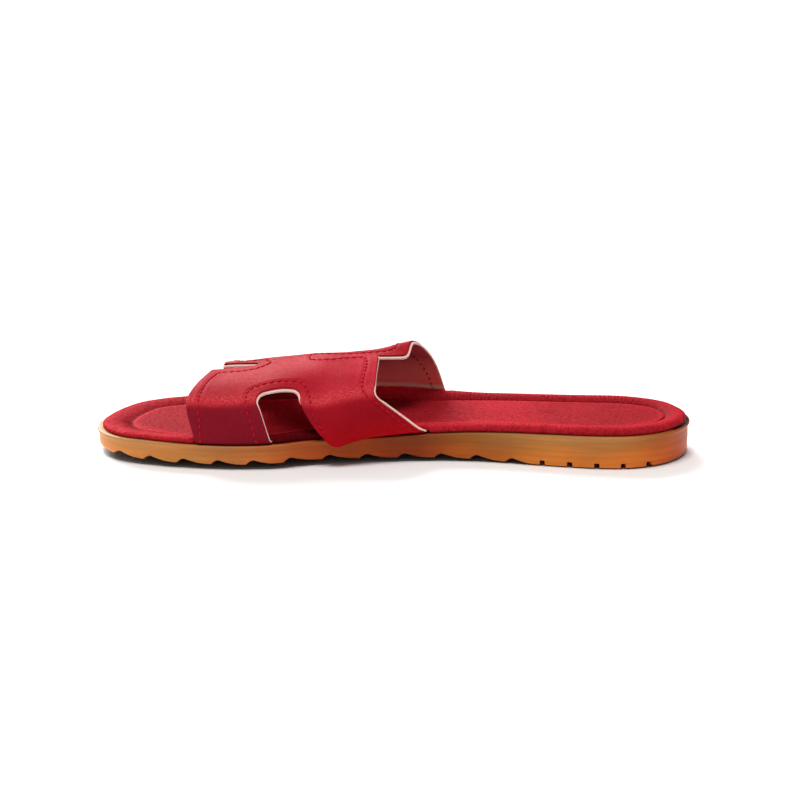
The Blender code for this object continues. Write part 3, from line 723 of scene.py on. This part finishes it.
# from_toe, width of the padded rim against its usual width
RIM_SPREAD = ((0, 1.14), (40, 1.04), (120, 0.98), (176, 0.82), (205, 0.80), (228, 0.84), (257, 0.82))
SWELL, SWELL_AT, SWELL_LENGTH = 2.9, 131.0, 28.0  # of the rim, pressed up beside the lateral leg
TOE_FLATTER = 0.5  # of the rim, on the lateral side of the toe
RIM_SHADE, RIM_GLOW = 0.78, 1.3  # painted shade on the rim under the band on the medial side, painted light on the rim beyond it on the lateral side
BED_GLOW = 0.25  # painted light on the bed just behind the band
COVERED, COVERED_GLOW = (66.0, 108.0), 0.5  # from_toe of the part under the band, which takes a copy of the leather without reflection as painted shade, and the painted light on its bed
RIM_PAINTED_LIGHT = (
    # distance in from the cover's side, tone against the plain leather: painted highlights on the rim's
    # outer side and crest and at the bed's edge, painted shade down its inner slope, in its groove and a
    # little over the bed
    (0.0, 1.15),
    (2.4, 1.2),
    (4.5, 1.0),
    (7.0, 0.86),
    (10.0, 0.7),
    (11.2, 0.5),
    (11.8, 1.3),
    (12.6, 1.25),
    (13.6, 0.9),
    (15.0, 0.82),
    (24.0, 0.8),
)


def end_to_end():
    """Places from the toe tip to the heel's back, closer together at both ends."""
    return LENGTH * (1 - np.cos(np.linspace(0, math.pi, 240))) / 2


def both_edges(stations):
    """The sole's outline at the stations: the medial edge, then the lateral one from the heel back."""
    medial = np.stack([stations, edge(stations, -1)], axis=1)
    return medial, np.stack([stations, edge(stations, 1)], axis=1)[::-1]


def leg_share(points):
    """1 beside a leg of the band and 0 away from it, at points of the sole's outline."""
    share = np.zeros(len(points))
    side = np.where(off_centre(points) > 0, 1, -1)
    for start, end, own in LEGS:
        near = between(points[:, 0], start - LEG_BLEND, end + LEG_BLEND, LEG_BLEND)
        share = np.maximum(share, near * (side == own))
    return share


def gathers(loop):
    """The rim's pleats around the loop: it is drawn in where they are above 0 and down below 0."""
    run = np.cumsum(np.linalg.norm(loop - np.roll(loop, 1, axis=0), axis=1))
    pleats = 0.5 * np.sin(2 * math.pi * run / PLEAT_PITCH + 2.2 * noise_at(run / 5.0, 1.0, 0.5))
    return (pleats + 0.4 * noise_at(run / 2.3, 2.3, 0.5)) * (0.8 + 0.8 * noise_at(run / 38.0, 4.0, 2.5))


def cover_rings(loop):
    """The cover's rings of points, from the edge of its underside over its rim to its bed."""
    u, across, legs = loop[:, 0], off_centre(loop), leg_share(loop)
    base_in = COVER_IN + LEG_IN * legs + TOE_IN * growing(u, 16.0, -14.0)
    base_in += HEEL_IN * np.clip(across / 12.0 + 0.35, 0.0, 1.0) * growing(u, LENGTH - 7.0, 5.0)
    fuller = SWELL * hump(u - SWELL_AT, SWELL_LENGTH) - TOE_FLATTER * growing(u, 60.0, -20.0)
    rise = height(u, RIM) + fuller * (across > 0)
    spread, pleats = smooth(RIM_SPREAD, u, 1), gathers(loop)
    towards = moved_in(loop, 1.0) - loop
    narrowed = 1.0 - LEG_NARROWS * legs
    rings = []
    for inset, rise_in, over_margin in ((8.2, COVER_UNDER, 0.0), (6.5, GAP, LEG_LIFTS)):
        ring = loop + towards * (base_in + inset * narrowed)[:, None]
        rings.append(np.column_stack([ring, height(ring[:, 0], TOP) + rise_in + over_margin * legs]))
    for inset, share, extra, pleat in COVER_PROFILE:
        wide = 1 + (spread - 1) * growing(inset, 2.0, 6.0)
        step = base_in + inset * wide * narrowed + pleat * np.maximum(pleats, 0.0) * PLEAT_IN
        ring = loop + towards * step[:, None]
        top = height(ring[:, 0], TOP)
        floor = top + GAP + LEG_LIFTS * legs * (1 - min(share * 4, 1.0))
        z = top + share * rise + extra + (1 - share) * height(ring[:, 0], BED) * (inset > 5)
        z = np.maximum(z + pleat * np.minimum(pleats, 0.0) * PLEAT_DOWN, floor)
        rings.append(np.column_stack([ring, z]))
    return rings


def cover_painted_light(vertices, insets, covered):
    """Painted light on the cover: painted highlights and shade across the rim, painted shade on the rim
    under the band on the medial side, and painted light on the rim beyond it on the lateral side, on the
    bed behind the band and on the bed under the band.
    """
    u, across = vertices[:, 0], off_centre(vertices)
    on_rim = growing(insets, 11.5, -1.0)
    medial = between(u, 56.0, 120.0, 10.0) * on_rim * (across < 0)
    lateral = between(u, 90.0, 150.0, 12.0) * on_rim * (across > 0)
    behind = between(u, 146.0, 200.0, 18.0) * (1 - on_rim)
    painted_light = smooth(RIM_PAINTED_LIGHT, insets, 1) * (1 - RIM_SHADE * medial) * (1 + RIM_GLOW * lateral)
    return painted_light * (1 + BED_GLOW * behind) * (1 + COVERED_GLOW * np.clip(covered - on_rim, 0.0, 1.0))


def make_insole():
    medial, lateral = both_edges(end_to_end())
    loop = evenly(np.concatenate([medial, lateral[1:]]), OUTLINE_SPACING, True)
    rings = cover_rings(smoothed(loop, OUTLINE_ROUNDS))
    count, last = len(loop), rings[-1]
    vertices, faces = np.concatenate(rings), ring_faces(len(rings), count)
    bed, own = cap(last, len(vertices) - count, len(vertices), BED_SPACING)
    from_rim = distance_to(bed, last[:, :2], True)
    rise = COVER_PROFILE[-1][2] + CROWN * growing(from_rim, 0.0, CROWN_REACH)
    z = height(bed[:, 0], TOP) + height(bed[:, 0], BED) + rise
    vertices, faces = np.concatenate([vertices, np.column_stack([bed, z])]), faces + own
    under, own = cap(rings[0], 0, len(vertices), UNDER_SPACING)
    z = height(under[:, 0], TOP) + COVER_UNDER
    vertices = np.concatenate([vertices, np.column_stack([under, z])])
    faces += [f[::-1] for f in own]
    cover = mesh_object("insole_cover", placed(*vertices.T), faces, 70.0)
    insets = [0.0, 0.0] + [row[0] for row in COVER_PROFILE]
    insets = np.concatenate([np.repeat(insets, count), from_rim + insets[-1], np.zeros(len(under))])
    covered = (vertices[:, 0] > COVERED[0]) & (vertices[:, 0] < COVERED[1])
    set_values(cover, "painted_light", cover_painted_light(vertices, insets, covered))
    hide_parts("insole")
    # The part under the band takes a copy of the leather without reflection: painted shade where the band
    # keeps the light off.
    cover.data.materials.append(insole_leather("insole_grain", 0.009))
    cover.data.materials.append(insole_leather("insole_grain_covered", 0.0))
    second_material(cover, covered)
    return cover


# ---- the sole ----

LUGS_FROM_TOE = (8.8, 22.6, 37.2, 52.0, 67.0, 83.0, 99.0, 114.7, 130.6, 146.1, 161.0, 175.8)
LUG_DEPTH, LUG_STEP, LUG_LENGTH = 1.8, 3.4, 14.0
LUG_STATIONS = (-0.3, 0.0, 0.2, 0.45, 0.75, 1.1, 1.5, 1.9, 2.3, 2.8, 3.4, 4.2)  # from each lug's start
SLOTS_FROM_TOE = [190.1 + 11.35 * k for k in range(5)]
SLOT_WIDTH, SLOT_DEPTH, SLOT_CORNER = 2.5, 1.9, 0.25
LIP_OUT = 0.8
HEEL_SLOT, HEEL_SLOT_FROM = 1.6, 9.0  # the open slot between the insole's end and the sole's lip
SLOT_SHADE = 0.93
TREAD_SHARES, TREAD_FLAT = (0.06, 0.14, 0.5, 0.86, 0.94), 0.14  # across the tread


def sole_stations():
    """Places along the shoe, closer together where the tread turns."""
    found = list(end_to_end())[1:-1]
    found += [start + x for start in LUGS_FROM_TOE for x in LUG_STATIONS]
    for start in SLOTS_FROM_TOE:
        found += [start, start + SLOT_CORNER, start + SLOT_WIDTH - SLOT_CORNER, start + SLOT_WIDTH]
    found = sorted(found)
    kept = found[:1]
    for u in found[1:]:
        if u - kept[-1] > 0.12 or u < 1.0 or u > LENGTH - 1.0:
            kept.append(u)
    return np.array(kept)


def tread_depth(from_toe):
    """Hooked lugs, each cut steeply at its toe end and run out in a hollow curve, then square slots."""
    deep = np.zeros(len(from_toe))
    for start in LUGS_FROM_TOE:
        run = from_toe - start
        rise = np.sin(growing(run, 0.0, LUG_STEP) * math.pi / 2)
        fall = growing(run, LUG_LENGTH, LUG_STEP - LUG_LENGTH) ** 2.3
        deep = np.maximum(deep, LUG_DEPTH * np.where(run < LUG_STEP, rise, fall) * (run > 0))
    for start in SLOTS_FROM_TOE:
        share = between(from_toe, start, start + SLOT_WIDTH, SLOT_CORNER)
        deep = np.maximum(deep, SLOT_DEPTH * share)
    return deep


def tread(made, stations, size):
    """Rows of points across the tread between the two halves of the lowest ring, and their faces."""
    count = len(stations)
    level = height(stations, BOTTOM) + tread_depth(stations)
    lift = height(stations, EDGE_LIFT)
    a, b = made[1 : count + 1], made[size - 1 : count + 1 : -1]
    rows, faces = [np.arange(1, count + 1)], []
    for share in TREAD_SHARES:
        row = a * (1 - share) + b * share
        row[:, 2] = level + lift * max(0.0, 1 - min(share, 1 - share) / TREAD_FLAT) ** 1.6
        rows.append(np.arange(count) + len(made))
        made = np.concatenate([made, row])
    rows.append(np.arange(size - 1, count + 1, -1))
    for one, two in zip(rows, rows[1:]):
        faces += [(one[k], two[k], two[k + 1], one[k + 1]) for k in range(count - 1)]
        faces += [(one[0], 0, two[0]), (one[-1], two[-1], count + 1)]
    return made, faces


def make_sole():
    stations = sole_stations()
    medial, lateral = both_edges(stations)
    ends = [(at, edge(at, 1)[0]) for at in (0.0, LENGTH)]
    loop = np.concatenate([ends[:1], medial, ends[1:], lateral])
    u, count, size = loop[:, 0], len(stations), len(loop)
    at_heel = growing(u, LENGTH - HEEL_SLOT_FROM, 4.0)
    slotted = height(u, TOP) - HEEL_SLOT * at_heel
    cut, low, high = tread_depth(u), height(u, BOTTOM) + height(u, EDGE_LIFT), height(u, TOP)
    rings = (
        # inset, height
        (LIP_OUT + 1.9, low + cut),
        (LIP_OUT + 1.0, low + cut + 0.06),
        (LIP_OUT + 0.45, low + cut + 0.28),
        (LIP_OUT + 0.12, low + 0.92 * cut + 0.65),
        (LIP_OUT, low + 2.7),
        (LIP_OUT - 0.12, low + 0.5 * (high - low)),
        (LIP_OUT, high - 2.6),
        (0.66, high - 2.0),
        (0.4, high - 1.5),
        (0.12, high - 1.1),
        (0.0, high - 0.75),
        (0.08, high - 0.35),
        (0.35, high - 0.08),
        (0.8, high),
        (1.1, slotted),
        (4.0, slotted),
        (6.0, high),
    )
    made = np.concatenate([np.column_stack([moved_in(loop, inset), z]) for inset, z in rings])
    made, across = tread(made, stations, size)
    faces = ring_faces(len(rings), size) + across
    top, last = (len(rings) - 1) * size, len(rings) * size
    faces += [(top + k, top + k + 1, last - 1 - k, last - k) for k in range(1, count)]
    faces += [(top, top + 1, last - 1), (top + count, top + count + 1, top + count + 2)]
    sole = mesh_object("sole_rubber", placed(*made.T), faces, 40.0)
    hidden = growing(np.array([inset for inset, _ in rings]), 0.1, 0.6)
    hidden = hidden * (np.arange(len(rings)) > len(rings) / 2)
    shade = 1 - SLOT_SHADE * (hidden[:, None] * at_heel).ravel()
    set_values(sole, "shade", np.concatenate([shade, np.ones(len(made) - len(shade))]))
    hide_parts("outsole")
    sole.data.materials.append(gum_rubber())
    return sole


# ---- materials ----


WHITE = (1.0, 1.0, 1.0)


def grey(value):
    return (value, value, value)


class Nodes:
    """A short way to write the nodes of a material or of the world."""

    def __init__(self, name, blocks=bpy.data.materials, shader="Principled BSDF"):
        self.block = blocks.new(name)
        self.block.use_nodes = True
        self.tree = self.block.node_tree
        self.shader = self.tree.nodes[shader]
        self.place = self.stretched(1.0, 1.0, 1.0)

    def feed(self, socket, value):
        """Links a socket to another node's output, or gives it a value of its own."""
        if isinstance(value, bpy.types.NodeSocket):
            self.tree.links.new(value, socket)
        elif value is not None:
            socket.default_value = (*value, 1.0) if socket.type == "RGBA" else value

    def add(self, kind, inputs=(), **settings):
        node = self.tree.nodes.new(kind)
        for key, value in settings.items():
            setattr(node, key, value)
        for key, value in dict(inputs).items():
            self.feed(node.inputs[key], value)
        return node

    def attribute(self, name):
        return self.add("ShaderNodeAttribute", attribute_name=name).outputs["Fac"]

    def stretched(self, x, y, z):
        """The place on the object with its axes scaled, in millimetres."""
        place = self.add("ShaderNodeTexCoord").outputs["Object"]
        scale = (x / MM, y / MM, z / MM)
        return self.add("ShaderNodeMapping", {"Vector": place, "Scale": scale}).outputs["Vector"]

    def noise(self, vector, scale, detail=2.0, rough=0.5):
        inputs = {"Vector": vector, "Scale": scale, "Detail": detail, "Roughness": rough}
        return self.add("ShaderNodeTexNoise", inputs).outputs["Fac"]

    def cells(self, vector, scale, feature="SMOOTH_F1"):
        inputs = {"Vector": vector, "Scale": scale}
        return self.add("ShaderNodeTexVoronoi", inputs, feature=feature).outputs["Distance"]

    def math(self, operation, a, b=0.0, clamp=False):
        inputs = {0: a, 1: b}
        return self.add("ShaderNodeMath", inputs, operation=operation, use_clamp=clamp).outputs[0]

    def ramp(self, factor, *stops):
        node = self.add("ShaderNodeValToRGB", {"Fac": factor})
        ramp = node.color_ramp
        while len(ramp.elements) < len(stops):
            ramp.elements.new(0.5)
        for element, (at, colour) in zip(ramp.elements, stops):
            element.position = at
            element.color = (*colour, 1.0)
        return node.outputs["Color"]

    def mix(self, factor, a, b, blend="MIX"):
        inputs = {0: factor, 6: a, 7: b}
        return self.add("ShaderNodeMix", inputs, data_type="RGBA", blend_type=blend).outputs[2]

    def share(self, value, start, length):
        """How far a value is past the start, as a share of the length."""
        return self.math("MULTIPLY", self.math("SUBTRACT", value, start), 1 / length)

    def darker(self, colour, by, factor=1.0):
        return self.mix(factor, colour, by, "MULTIPLY")

    def bump(self, high, strength, distance_mm, under=None):
        inputs = {"Height": high, "Strength": strength, "Distance": distance_mm * MM, "Normal": under}
        return self.add("ShaderNodeBump", inputs).outputs["Normal"]

    def finish(self, colour, roughness, normal, specular):
        for key, value in (("Base Color", colour), ("Roughness", roughness), ("Normal", normal)):
            self.feed(self.shader.inputs[key], value)
        self.shader.inputs["Specular IOR Level"].default_value = specular
        return self.block


def pebbled(nodes, cell_mm, strength):
    """Leather grain: rounded cells with creases between them, over a finer unevenness."""
    warp = nodes.noise(nodes.place, 0.8, 3.0)
    cells = nodes.cells(nodes.place, 1 / cell_mm)
    fine = nodes.noise(nodes.place, 3.2, 4.0, 0.6)
    high = nodes.math("ADD", nodes.math("MULTIPLY", cells, -1.0), nodes.math("MULTIPLY", fine, 0.35))
    high = nodes.math("ADD", high, nodes.math("MULTIPLY", warp, 0.4))
    return cells, nodes.bump(high, strength, 0.22)


def band_leather():
    """Coated leather, nearly smooth on the flat and crazed along the folds, with a painted highlight on the
    folds and their grains.
    """
    nodes = Nodes("band_leather")
    fold = nodes.attribute("fold")
    cells, normal = pebbled(nodes, 0.9, 0.3)
    grains = nodes.cells(nodes.place, 1 / 0.95, "F1")
    crazing = nodes.math("MULTIPLY", nodes.math("MULTIPLY", grains, -1.0), fold)
    normal = nodes.bump(crazing, 1.0, 0.5, normal)
    tone = nodes.noise(nodes.place, 0.05, 3.0)
    colour = nodes.ramp(tone, (0.3, (0.32, 0.0058, 0.0125)), (0.7, (0.39, 0.0082, 0.018)))
    crease = nodes.ramp(cells, (0.35, WHITE), (0.8, (0.82, 0.74, 0.74)))
    colour = nodes.darker(colour, crease, 0.6)
    # Painted light and shade on the leather.
    colour = nodes.darker(colour, nodes.attribute("painted_light"))
    # Painted sheen: green and blue are scaled up where the leather should look greyer and down where it
    # should look redder.
    painted_sheen = nodes.attribute("painted_sheen")
    sheen_channels = nodes.add("ShaderNodeCombineXYZ", {"X": 1.0, "Y": painted_sheen, "Z": painted_sheen}).outputs[0]
    colour = nodes.darker(colour, sheen_channels)
    # Painted highlight along the folds: a brighter band over the fold and brighter tops on its grains. The
    # crazing bump above is the leather's wear.
    bright = nodes.ramp(grains, (0.25, WHITE), (0.55, grey(0.0)))
    worn_and_lit = nodes.math("MULTIPLY", bright, nodes.math("MULTIPLY", fold, 0.45))
    colour = nodes.mix(nodes.math("MULTIPLY", fold, 0.5), colour, (0.68, 0.045, 0.058))
    colour = nodes.mix(worn_and_lit, colour, (0.74, 0.075, 0.09))
    gloss = nodes.ramp(cells, (0.2, grey(0.48)), (0.7, grey(0.62)))
    return nodes.finish(colour, gloss, normal, 0.023)


def insole_leather(name, sheen):
    nodes = Nodes(name)
    cells, normal = pebbled(nodes, 1.2, 1.0)
    tone = nodes.noise(nodes.place, 0.04, 3.0)
    colour = nodes.ramp(tone, (0.3, (0.335, 0.011, 0.018)), (0.7, (0.405, 0.015, 0.024)))
    crease = nodes.ramp(cells, (0.3, WHITE), (0.8, (0.62, 0.52, 0.52)))
    colour = nodes.darker(colour, crease, 0.9)
    # Painted light and shade on the cover.
    colour = nodes.darker(colour, nodes.attribute("painted_light"))
    gloss = nodes.ramp(cells, (0.2, grey(0.52)), (0.7, grey(0.68)))
    return nodes.finish(colour, gloss, normal, sheen)


def lining_material():
    """Maroon, paler towards the lateral margin, where it is bare backing."""
    nodes = Nodes("maroon_lining")
    fine = nodes.noise(nodes.place, 2.2, 4.0, 0.65)
    tone = nodes.noise(nodes.place, 0.12, 2.0)
    margin = nodes.math("MULTIPLY", nodes.attribute("margin"), 2.0)
    colour = nodes.ramp(tone, (0.3, (0.31, 0.038, 0.045)), (0.7, (0.38, 0.064, 0.068)))
    colour = nodes.mix(nodes.math("ADD", margin, 0.0, clamp=True), colour, (1.0, 0.24, 0.22))
    bare = nodes.math("SUBTRACT", margin, 1.0, clamp=True)
    colour = nodes.mix(bare, colour, (1.0, 0.80, 0.68))
    return nodes.finish(colour, 0.9, nodes.bump(fine, 0.4, 0.12), 0.03)


def fibrous(name, fineness, dark, light, roughness, depth, specular):
    """A material of fine fibres between two tones."""
    nodes = Nodes(name)
    fibres = nodes.noise(nodes.place, *fineness)
    colour = nodes.ramp(fibres, (0.3, dark), (0.7, light))
    return nodes.finish(colour, roughness, nodes.bump(fibres, 0.5, depth), specular)


def cut_edge_material():
    """The pale backing that shows where the band is cut."""
    tones = (0.88, 0.56, 0.49), (0.97, 0.74, 0.66)
    return fibrous("pale_cut_edge", (2.4, 4.0, 0.7), *tones, 0.85, 0.12, 0.2)


def thread_material():
    nodes = Nodes("red_thread")
    inputs = {"Vector": nodes.place, "Scale": 1.1, "Distortion": 0.6}
    twist = nodes.add("ShaderNodeTexWave", inputs, bands_direction="DIAGONAL").outputs["Fac"]
    colour = nodes.ramp(twist, (0.2, (0.42, 0.004, 0.014)), (0.8, (0.58, 0.008, 0.026)))
    return nodes.finish(colour, 0.7, nodes.bump(twist, 0.6, 0.1), 0.08)


def knot_material():
    tones = (0.08, 0.004, 0.006), (0.15, 0.009, 0.012)
    return fibrous("dark_thread_knots", (3.0, 3.0), *tones, 0.7, 0.1, 0.3)


SOLE_TALL = 14.0
ARCH_AT, ARCH_REACH = 5.0, 60.0  # along the frame's X: the middle of the painted shade under the arch, and its reach
HEEL_AT, HEEL_FADE = 128.0, 30.0
SOLE_ZONES = (
    # share of the shoe's length, tone: partly the rubber's own tone, and painted shade through the middle
    # and at the heel's back
    (0.04, (1.0, 1.0, 1.0)),
    (0.17, (0.74, 0.82, 0.95)),
    (0.36, (0.85, 0.52, 0.38)),
    (0.54, (0.74, 0.40, 0.19)),
    (0.61, (0.88, 0.70, 0.34)),
    (0.7, (0.9, 0.82, 0.52)),
    (0.86, (0.97, 0.76, 0.5)),
    (0.97, (0.79, 0.43, 0.19)),
)


def gum_rubber():
    """Moulded gum rubber: tan at the top, more orange towards the ground and streaked lengthways, with
    painted shade under the arch, through the middle, at the heel's back, in the heel's slot and on the
    faces that look at the ground."""
    nodes = Nodes("gum_rubber_sole")
    split = nodes.add("ShaderNodeSeparateXYZ", {"Vector": nodes.place})
    x, z = split.outputs["X"], split.outputs["Z"]
    streak = nodes.noise(nodes.stretched(0.03, 0.03, 0.55), 1.0, 3.0)
    cloud = nodes.math("SUBTRACT", nodes.noise(nodes.place, 0.03, 3.0), 0.5)
    colour = nodes.ramp(
        nodes.math("ADD", nodes.share(z, 0.0, SOLE_TALL), nodes.math("MULTIPLY", cloud, 1.2)),
        (0.05, (1.0, 0.375, 0.075)),
        (0.4, (0.84, 0.30, 0.068)),
        (0.75, (0.64, 0.29, 0.09)),
        (1.0, (0.58, 0.31, 0.135)),
    )
    colour = nodes.darker(colour, nodes.ramp(streak, (0.35, (0.8, 0.76, 0.7)), (0.65, WHITE)), 0.8)
    # Painted shade under the arch.
    arch = nodes.math("ABSOLUTE", nodes.share(x, ARCH_AT, ARCH_REACH))
    tone = nodes.ramp(arch, (0.1, (0.55, 0.38, 0.28)), (0.75, (0.85, 0.72, 0.66)), (1.0, WHITE))
    colour = nodes.darker(colour, tone)
    colour = nodes.darker(colour, nodes.ramp(nodes.share(x, -LENGTH / 2, LENGTH), *SOLE_ZONES))
    # Painted shade by the way a face looks: much darker on faces that look at the ground, standing in for
    # the deep shadow under the sole, and a little darker on faces that look straight up.
    facing = nodes.add("ShaderNodeNewGeometry").outputs["Normal"]
    up = nodes.add("ShaderNodeSeparateXYZ", {"Vector": facing}).outputs["Z"]
    under, over = (0.12, 0.09, 0.08), (0.72, 0.66, 0.62)
    facing_up = nodes.share(up, -1.0, 2.0)
    tone = nodes.ramp(facing_up, (0.1, under), (0.25, WHITE), (0.75, WHITE), (0.97, over))
    colour = nodes.darker(nodes.darker(colour, tone), nodes.attribute("shade"))
    # Painted shade: darker and redder towards the heel's back.
    heel = nodes.share(x, HEEL_AT, -HEEL_FADE)
    colour = nodes.darker(colour, nodes.ramp(heel, (0.0, (0.78, 0.56, 0.46)), (0.9, WHITE)))
    fine = nodes.noise(nodes.place, 1.8, 4.0, 0.6)
    return nodes.finish(colour, 0.45, nodes.bump(nodes.math("ADD", fine, streak), 0.25, 0.15), 0.16)


# ---- floor, light and camera ----

VIEW_ELEVATION = math.radians(13.5)
VIEW_DISTANCE = 0.9
LENS, SENSOR = 92.5, 36.0
AIM = Vector((0.0031, -0.0007, 0.0195))
FLOOR_COLOUR, FLOOR_HALF, FLOOR_DROP = (0.87, 0.86, 0.85), 9.0, 0.0001  # in metres
STUDIO_COLOUR = (1.0, 0.985, 0.97)
STUDIO_TOWARDS = (-0.45, 1.0, 0.0)  # the bright side
STUDIO_RANGE = {"From Min": -0.9, "From Max": 1.0, "To Min": 0.17, "To Max": 0.62}
LIGHTS = (
    # name, strength, softness in degrees, direction it comes from
    ("back_light", 4.4, 40.0, (-0.5, 1.0, 0.65)),
    ("top_light", 2.2, 30.0, (-0.1, -0.15, 1.0)),
)


def make_floor():
    half, z = FLOOR_HALF, -FLOOR_DROP
    corners = [(-half, -half, z), (half, -half, z), (half, half, z), (-half, half, z)]
    floor = mesh_object("floor", corners, [(0, 1, 2, 3)])
    floor.data.materials.append(Nodes("pale_floor").finish(FLOOR_COLOUR, 0.6, None, 0.1))


def make_light():
    """Soft light from over the shoe and from behind its toe, in a studio that is dim in front."""
    nodes = Nodes("studio", bpy.data.worlds, "Background")
    place = nodes.add("ShaderNodeTexCoord").outputs["Generated"]
    towards = nodes.add("ShaderNodeVectorMath", {0: place, 1: STUDIO_TOWARDS}, operation="DOT_PRODUCT")
    behind = nodes.add("ShaderNodeMapRange", {"Value": towards.outputs["Value"], **STUDIO_RANGE})
    nodes.feed(nodes.shader.inputs["Color"], STUDIO_COLOUR)
    nodes.feed(nodes.shader.inputs["Strength"], behind.outputs["Result"])
    bpy.context.scene.world = nodes.block
    for name, strength, softness, source in LIGHTS:
        lamp = bpy.data.lights.new(name, "SUN")
        lamp.energy, lamp.angle = strength, math.radians(softness)
        added(name, lamp).rotation_euler = Vector(source).to_track_quat("Z", "Y").to_euler()
    bpy.context.scene.view_settings.view_transform = "Standard"


def make_camera():
    data = bpy.data.cameras.new("camera")
    data.lens, data.sensor_width = LENS, SENSOR
    camera = added("camera", data)
    back = Vector((0.0, -math.cos(VIEW_ELEVATION), math.sin(VIEW_ELEVATION)))
    camera.location = AIM + back * VIEW_DISTANCE
    camera.rotation_euler = (-back).to_track_quat("-Z", "Y").to_euler()
    bpy.context.scene.camera = camera


make_camera()
make_light()
make_floor()
for piece in make_band():
    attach(piece, "root")
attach(make_insole(), "root")
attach(make_sole(), "root")
